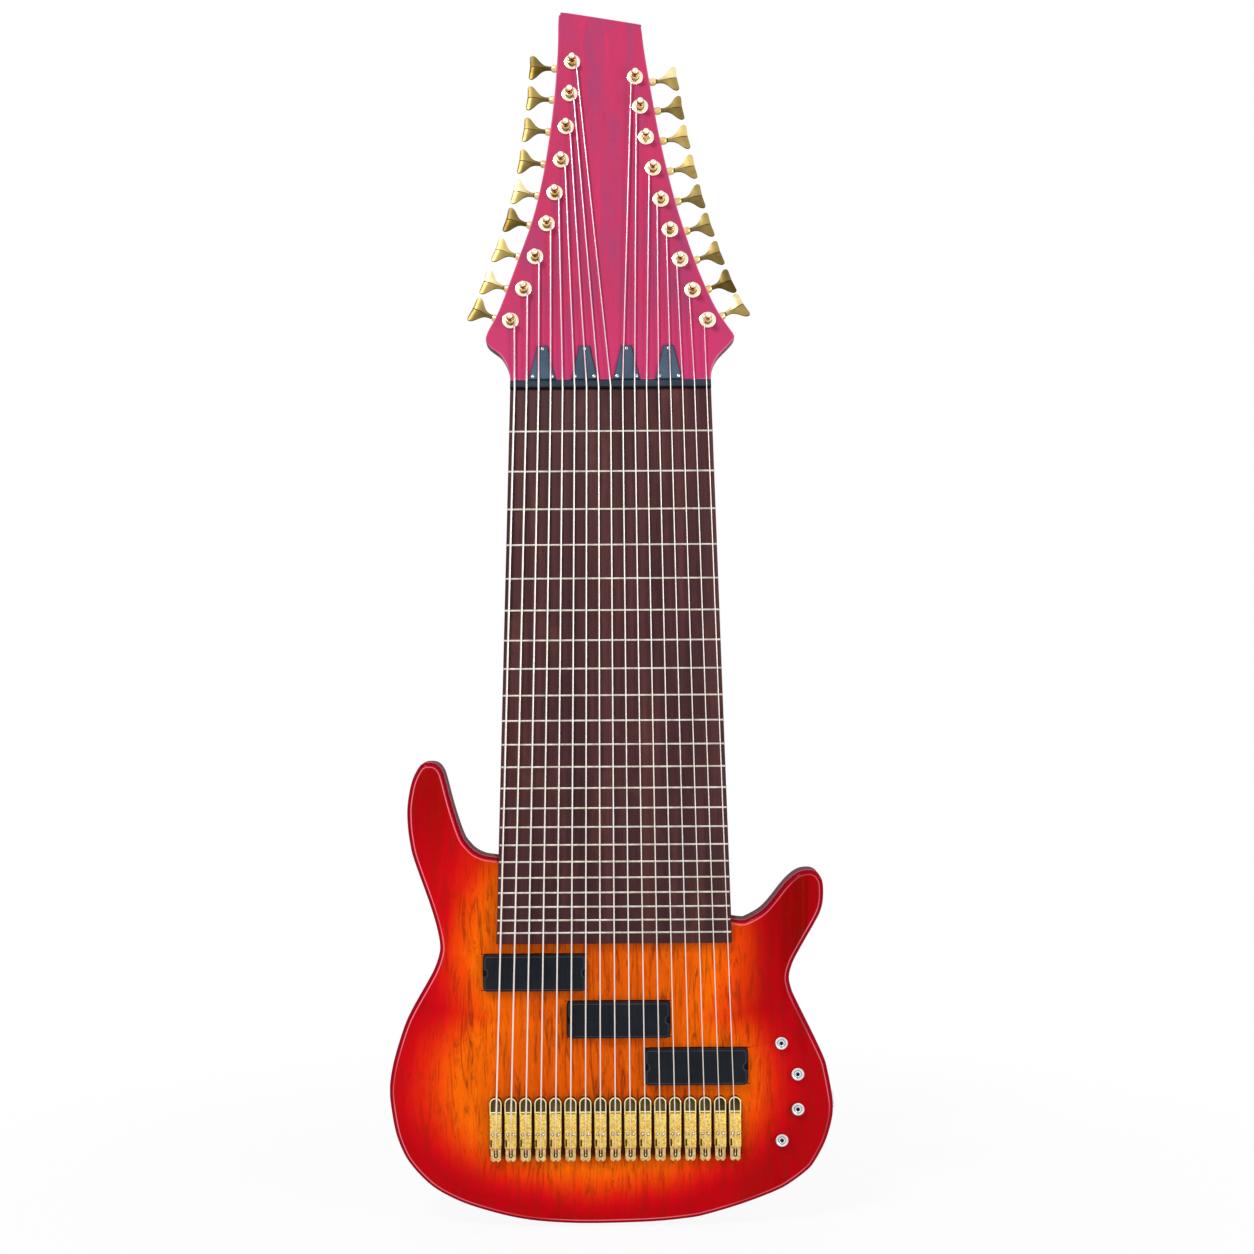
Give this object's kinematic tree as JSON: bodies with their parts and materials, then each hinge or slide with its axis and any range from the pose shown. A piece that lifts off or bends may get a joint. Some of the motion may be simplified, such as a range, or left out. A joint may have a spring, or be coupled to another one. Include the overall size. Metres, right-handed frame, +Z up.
{
  "type": "electric bass guitar",
  "caption": "Extended-range solid-body electric bass guitar, very wide neck, leaning tapered headstock with tuning machines on both edges, single-string bridges, soap-bar pickups.",
  "frame": {"origin": "middle of the nut line on the face of the fingerboard, the zero of the string scale", "axes": "+Z up the neck to the headstock, +Y from the front face to the back, +X to the treble side"},
  "size_m": [0.5113, 0.1222, 1.4189],
  "materials": {
    "raspberry_headstock": "stained, satin lacquer",
    "rosewood": "open-pored, oiled",
    "string_steel": "round-wound nickel",
    "dark_cherry": "satin lacquer",
    "cherry_sunburst": "high-gloss sunburst lacquer",
    "black_plastic": "semi-gloss",
    "chrome": "polished",
    "slate_blue": "satin",
    "rod_steel": "plain",
    "gold": "gold plated, polished"
  },
  "bodies": {
    "instrument": {"neck": "raspberry_headstock", "fingerboard": "rosewood", "string_set": "string_steel", "body": "dark_cherry", "body_top": "cherry_sunburst", "control_cover": "black_plastic", "pickup_neck": "black_plastic", "pickup_middle": "black_plastic", "pickup_bridge": "black_plastic", "jack_socket": "chrome", "strap_socket_tail": "chrome", "strap_socket_horn": "chrome", "truss_rod_1": "rod_steel", "truss_rod_2": "rod_steel", "truss_rod_3": "rod_steel", "truss_rod_4": "rod_steel", "truss_rod_cover_1": "slate_blue", "truss_rod_cover_2": "slate_blue", "truss_rod_cover_3": "slate_blue", "truss_rod_cover_4": "slate_blue"},
    "control_knob_1": {"control_knob_1": "chrome"},
    "control_knob_2": {"control_knob_2": "chrome"},
    "control_knob_3": {"control_knob_3": "chrome"},
    "control_knob_4": {"control_knob_4": "chrome"},
    "tuner_key_bass_1": {"tuner_key_bass_1": "gold"},
    "tuner_post_bass_1": {"tuner_post_bass_1": "gold"},
    "tuner_key_bass_2": {"tuner_key_bass_2": "gold"},
    "tuner_post_bass_2": {"tuner_post_bass_2": "gold"},
    "tuner_key_bass_3": {"tuner_key_bass_3": "gold"},
    "tuner_post_bass_3": {"tuner_post_bass_3": "gold"},
    "tuner_key_bass_4": {"tuner_key_bass_4": "gold"},
    "tuner_post_bass_4": {"tuner_post_bass_4": "gold"},
    "tuner_key_bass_5": {"tuner_key_bass_5": "gold"},
    "tuner_post_bass_5": {"tuner_post_bass_5": "gold"},
    "tuner_key_bass_6": {"tuner_key_bass_6": "gold"},
    "tuner_post_bass_6": {"tuner_post_bass_6": "gold"},
    "tuner_key_bass_7": {"tuner_key_bass_7": "gold"},
    "tuner_post_bass_7": {"tuner_post_bass_7": "gold"},
    "tuner_key_bass_8": {"tuner_key_bass_8": "gold"},
    "tuner_post_bass_8": {"tuner_post_bass_8": "gold"},
    "tuner_key_bass_9": {"tuner_key_bass_9": "gold"},
    "tuner_post_bass_9": {"tuner_post_bass_9": "gold"},
    "tuner_key_treble_1": {"tuner_key_treble_1": "gold"},
    "tuner_post_treble_1": {"tuner_post_treble_1": "gold"},
    "tuner_key_treble_2": {"tuner_key_treble_2": "gold"},
    "tuner_post_treble_2": {"tuner_post_treble_2": "gold"},
    "tuner_key_treble_3": {"tuner_key_treble_3": "gold"},
    "tuner_post_treble_3": {"tuner_post_treble_3": "gold"},
    "tuner_key_treble_4": {"tuner_key_treble_4": "gold"},
    "tuner_post_treble_4": {"tuner_post_treble_4": "gold"},
    "tuner_key_treble_5": {"tuner_key_treble_5": "gold"},
    "tuner_post_treble_5": {"tuner_post_treble_5": "gold"},
    "tuner_key_treble_6": {"tuner_key_treble_6": "gold"},
    "tuner_post_treble_6": {"tuner_post_treble_6": "gold"},
    "tuner_key_treble_7": {"tuner_key_treble_7": "gold"},
    "tuner_post_treble_7": {"tuner_post_treble_7": "gold"},
    "tuner_key_treble_8": {"tuner_key_treble_8": "gold"},
    "tuner_post_treble_8": {"tuner_post_treble_8": "gold"},
    "tuner_key_treble_9": {"tuner_key_treble_9": "gold"},
    "tuner_post_treble_9": {"tuner_post_treble_9": "gold"}
  },
  "joints": [
    {"name": "control_knob_1_turn", "type": "hinge", "parent": "instrument", "child": "control_knob_1", "pos_m": [0.19048, 0.009, -0.74991], "axis": [0, -1, 0], "range_deg": [-150, 150]},
    {"name": "control_knob_2_turn", "type": "hinge", "parent": "instrument", "child": "control_knob_2", "pos_m": [0.20904, 0.009, -0.78542], "axis": [0, -1, 0], "range_deg": [-150, 150]},
    {"name": "control_knob_3_turn", "type": "hinge", "parent": "instrument", "child": "control_knob_3", "pos_m": [0.20904, 0.009, -0.8255], "axis": [0, -1, 0], "range_deg": [-150, 150]},
    {"name": "control_knob_4_turn", "type": "hinge", "parent": "instrument", "child": "control_knob_4", "pos_m": [0.19048, 0.009, -0.86101], "axis": [0, -1, 0], "range_deg": [-150, 150]},
    {"name": "tuner_key_bass_1_turn", "type": "hinge", "parent": "instrument", "child": "tuner_key_bass_1", "pos_m": [-0.11382, 0.0399, 0.07809], "axis": [-0.9044, 0.0887, 0.4173], "continuous": true},
    {"name": "tuner_post_bass_1_turn", "type": "hinge", "parent": "instrument", "child": "tuner_post_bass_1", "pos_m": [-0.1148, 0.01785, 0.08065], "axis": [0, -0.9781, 0.2079], "continuous": true},
    {"name": "tuner_key_bass_2_turn", "type": "hinge", "parent": "instrument", "child": "tuner_key_bass_2", "pos_m": [-0.09919, 0.04796, 0.11603], "axis": [-0.9478, 0.0663, 0.3119], "continuous": true},
    {"name": "tuner_post_bass_2_turn", "type": "hinge", "parent": "instrument", "child": "tuner_post_bass_2", "pos_m": [-0.09992, 0.02589, 0.1185], "axis": [0, -0.9781, 0.2079], "continuous": true},
    {"name": "tuner_key_bass_3_turn", "type": "hinge", "parent": "instrument", "child": "tuner_key_bass_3", "pos_m": [-0.08589, 0.05615, 0.15457], "axis": [-0.9438, 0.0687, 0.3232], "continuous": true},
    {"name": "tuner_post_bass_3_turn", "type": "hinge", "parent": "instrument", "child": "tuner_post_bass_3", "pos_m": [-0.08665, 0.03408, 0.15704], "axis": [0, -0.9781, 0.2079], "continuous": true},
    {"name": "tuner_key_bass_4_turn", "type": "hinge", "parent": "instrument", "child": "tuner_key_bass_4", "pos_m": [-0.07264, 0.06463, 0.19444], "axis": [-0.9638, 0.0555, 0.261], "continuous": true},
    {"name": "tuner_post_bass_4_turn", "type": "hinge", "parent": "instrument", "child": "tuner_post_bass_4", "pos_m": [-0.07325, 0.04255, 0.19687], "axis": [0, -0.9781, 0.2079], "continuous": true},
    {"name": "tuner_key_bass_5_turn", "type": "hinge", "parent": "instrument", "child": "tuner_key_bass_5", "pos_m": [-0.06354, 0.07263, 0.23209], "axis": [-0.9796, 0.0418, 0.1965], "continuous": true},
    {"name": "tuner_post_bass_5_turn", "type": "hinge", "parent": "instrument", "child": "tuner_post_bass_5", "pos_m": [-0.064, 0.05055, 0.23449], "axis": [0, -0.9781, 0.2079], "continuous": true},
    {"name": "tuner_key_bass_6_turn", "type": "hinge", "parent": "instrument", "child": "tuner_key_bass_6", "pos_m": [-0.05633, 0.08116, 0.2722], "axis": [-0.989, 0.0307, 0.1445], "continuous": true},
    {"name": "tuner_post_bass_6_turn", "type": "hinge", "parent": "instrument", "child": "tuner_post_bass_6", "pos_m": [-0.05667, 0.05906, 0.27457], "axis": [0, -0.9781, 0.2079], "continuous": true},
    {"name": "tuner_key_bass_7_turn", "type": "hinge", "parent": "instrument", "child": "tuner_key_bass_7", "pos_m": [-0.05072, 0.08989, 0.31329], "axis": [-0.9931, 0.0244, 0.1149], "continuous": true},
    {"name": "tuner_post_bass_7_turn", "type": "hinge", "parent": "instrument", "child": "tuner_post_bass_7", "pos_m": [-0.05099, 0.0678, 0.31565], "axis": [0, -0.9781, 0.2079], "continuous": true},
    {"name": "tuner_key_bass_8_turn", "type": "hinge", "parent": "instrument", "child": "tuner_key_bass_8", "pos_m": [-0.04647, 0.09858, 0.35417], "axis": [-0.9962, 0.0181, 0.085], "continuous": true},
    {"name": "tuner_post_bass_8_turn", "type": "hinge", "parent": "instrument", "child": "tuner_post_bass_8", "pos_m": [-0.04667, 0.07648, 0.35652], "axis": [0, -0.9781, 0.2079], "continuous": true},
    {"name": "tuner_key_bass_9_turn", "type": "hinge", "parent": "instrument", "child": "tuner_key_bass_9", "pos_m": [-0.04354, 0.1071, 0.39427], "axis": [-0.9985, 0.0115, 0.0542], "continuous": true},
    {"name": "tuner_post_bass_9_turn", "type": "hinge", "parent": "instrument", "child": "tuner_post_bass_9", "pos_m": [-0.04366, 0.08501, 0.39662], "axis": [0, -0.9781, 0.2079], "continuous": true},
    {"name": "tuner_key_treble_1_turn", "type": "hinge", "parent": "instrument", "child": "tuner_key_treble_1", "pos_m": [0.11084, 0.03977, 0.07747], "axis": [0.8627, 0.1052, 0.4947], "continuous": true},
    {"name": "tuner_post_treble_1_turn", "type": "hinge", "parent": "instrument", "child": "tuner_post_treble_1", "pos_m": [0.112, 0.01774, 0.08013], "axis": [0, -0.9781, 0.2079], "continuous": true},
    {"name": "tuner_key_treble_2_turn", "type": "hinge", "parent": "instrument", "child": "tuner_key_treble_2", "pos_m": [0.09416, 0.04736, 0.1132], "axis": [0.93, 0.0764, 0.3595], "continuous": true},
    {"name": "tuner_post_treble_2_turn", "type": "hinge", "parent": "instrument", "child": "tuner_post_treble_2", "pos_m": [0.09501, 0.0253, 0.11571], "axis": [0, -0.9781, 0.2079], "continuous": true},
    {"name": "tuner_key_treble_3_turn", "type": "hinge", "parent": "instrument", "child": "tuner_key_treble_3", "pos_m": [0.08055, 0.05523, 0.15021], "axis": [0.9511, 0.0642, 0.3022], "continuous": true},
    {"name": "tuner_post_treble_3_turn", "type": "hinge", "parent": "instrument", "child": "tuner_post_treble_3", "pos_m": [0.08126, 0.03315, 0.15266], "axis": [0, -0.9781, 0.2079], "continuous": true},
    {"name": "tuner_key_treble_4_turn", "type": "hinge", "parent": "instrument", "child": "tuner_key_treble_4", "pos_m": [0.06925, 0.06288, 0.1862], "axis": [0.9602, 0.0581, 0.2733], "continuous": true},
    {"name": "tuner_post_treble_4_turn", "type": "hinge", "parent": "instrument", "child": "tuner_post_treble_4", "pos_m": [0.06989, 0.0408, 0.18864], "axis": [0, -0.9781, 0.2079], "continuous": true},
    {"name": "tuner_key_treble_5_turn", "type": "hinge", "parent": "instrument", "child": "tuner_key_treble_5", "pos_m": [0.05906, 0.07076, 0.22329], "axis": [0.9713, 0.0494, 0.2325], "continuous": true},
    {"name": "tuner_post_treble_5_turn", "type": "hinge", "parent": "instrument", "child": "tuner_post_treble_5", "pos_m": [0.0596, 0.04868, 0.2257], "axis": [0, -0.9781, 0.2079], "continuous": true},
    {"name": "tuner_key_treble_6_turn", "type": "hinge", "parent": "instrument", "child": "tuner_key_treble_6", "pos_m": [0.05028, 0.07886, 0.26138], "axis": [0.9778, 0.0435, 0.2048], "continuous": true},
    {"name": "tuner_post_treble_6_turn", "type": "hinge", "parent": "instrument", "child": "tuner_post_treble_6", "pos_m": [0.05076, 0.05677, 0.26378], "axis": [0, -0.9781, 0.2079], "continuous": true},
    {"name": "tuner_key_treble_7_turn", "type": "hinge", "parent": "instrument", "child": "tuner_key_treble_7", "pos_m": [0.04241, 0.08703, 0.29984], "axis": [0.9834, 0.0378, 0.1777], "continuous": true},
    {"name": "tuner_post_treble_7_turn", "type": "hinge", "parent": "instrument", "child": "tuner_post_treble_7", "pos_m": [0.04283, 0.06495, 0.30223], "axis": [0, -0.9781, 0.2079], "continuous": true},
    {"name": "tuner_key_treble_8_turn", "type": "hinge", "parent": "instrument", "child": "tuner_key_treble_8", "pos_m": [0.03596, 0.09514, 0.33799], "axis": [0.9886, 0.0313, 0.1471], "continuous": true},
    {"name": "tuner_post_treble_8_turn", "type": "hinge", "parent": "instrument", "child": "tuner_post_treble_8", "pos_m": [0.03631, 0.07305, 0.34036], "axis": [0, -0.9781, 0.2079], "continuous": true},
    {"name": "tuner_key_treble_9_turn", "type": "hinge", "parent": "instrument", "child": "tuner_key_treble_9", "pos_m": [0.03025, 0.10295, 0.37472], "axis": [0.9885, 0.0314, 0.1476], "continuous": true},
    {"name": "tuner_post_treble_9_turn", "type": "hinge", "parent": "instrument", "child": "tuner_post_treble_9", "pos_m": [0.0306, 0.08086, 0.37709], "axis": [0, -0.9781, 0.2079], "continuous": true}
  ],
  "couplings": [
    {"joint": "tuner_post_bass_1_turn", "follows": "tuner_key_bass_1_turn", "ratio": 0.05},
    {"joint": "tuner_post_bass_2_turn", "follows": "tuner_key_bass_2_turn", "ratio": 0.05},
    {"joint": "tuner_post_bass_3_turn", "follows": "tuner_key_bass_3_turn", "ratio": 0.05},
    {"joint": "tuner_post_bass_4_turn", "follows": "tuner_key_bass_4_turn", "ratio": 0.05},
    {"joint": "tuner_post_bass_5_turn", "follows": "tuner_key_bass_5_turn", "ratio": 0.05},
    {"joint": "tuner_post_bass_6_turn", "follows": "tuner_key_bass_6_turn", "ratio": 0.05},
    {"joint": "tuner_post_bass_7_turn", "follows": "tuner_key_bass_7_turn", "ratio": 0.05},
    {"joint": "tuner_post_bass_8_turn", "follows": "tuner_key_bass_8_turn", "ratio": 0.05},
    {"joint": "tuner_post_bass_9_turn", "follows": "tuner_key_bass_9_turn", "ratio": 0.05},
    {"joint": "tuner_post_treble_1_turn", "follows": "tuner_key_treble_1_turn", "ratio": 0.05},
    {"joint": "tuner_post_treble_2_turn", "follows": "tuner_key_treble_2_turn", "ratio": 0.05},
    {"joint": "tuner_post_treble_3_turn", "follows": "tuner_key_treble_3_turn", "ratio": 0.05},
    {"joint": "tuner_post_treble_4_turn", "follows": "tuner_key_treble_4_turn", "ratio": 0.05},
    {"joint": "tuner_post_treble_5_turn", "follows": "tuner_key_treble_5_turn", "ratio": 0.05},
    {"joint": "tuner_post_treble_6_turn", "follows": "tuner_key_treble_6_turn", "ratio": 0.05},
    {"joint": "tuner_post_treble_7_turn", "follows": "tuner_key_treble_7_turn", "ratio": 0.05},
    {"joint": "tuner_post_treble_8_turn", "follows": "tuner_key_treble_8_turn", "ratio": 0.05},
    {"joint": "tuner_post_treble_9_turn", "follows": "tuner_key_treble_9_turn", "ratio": 0.05}
  ]
}
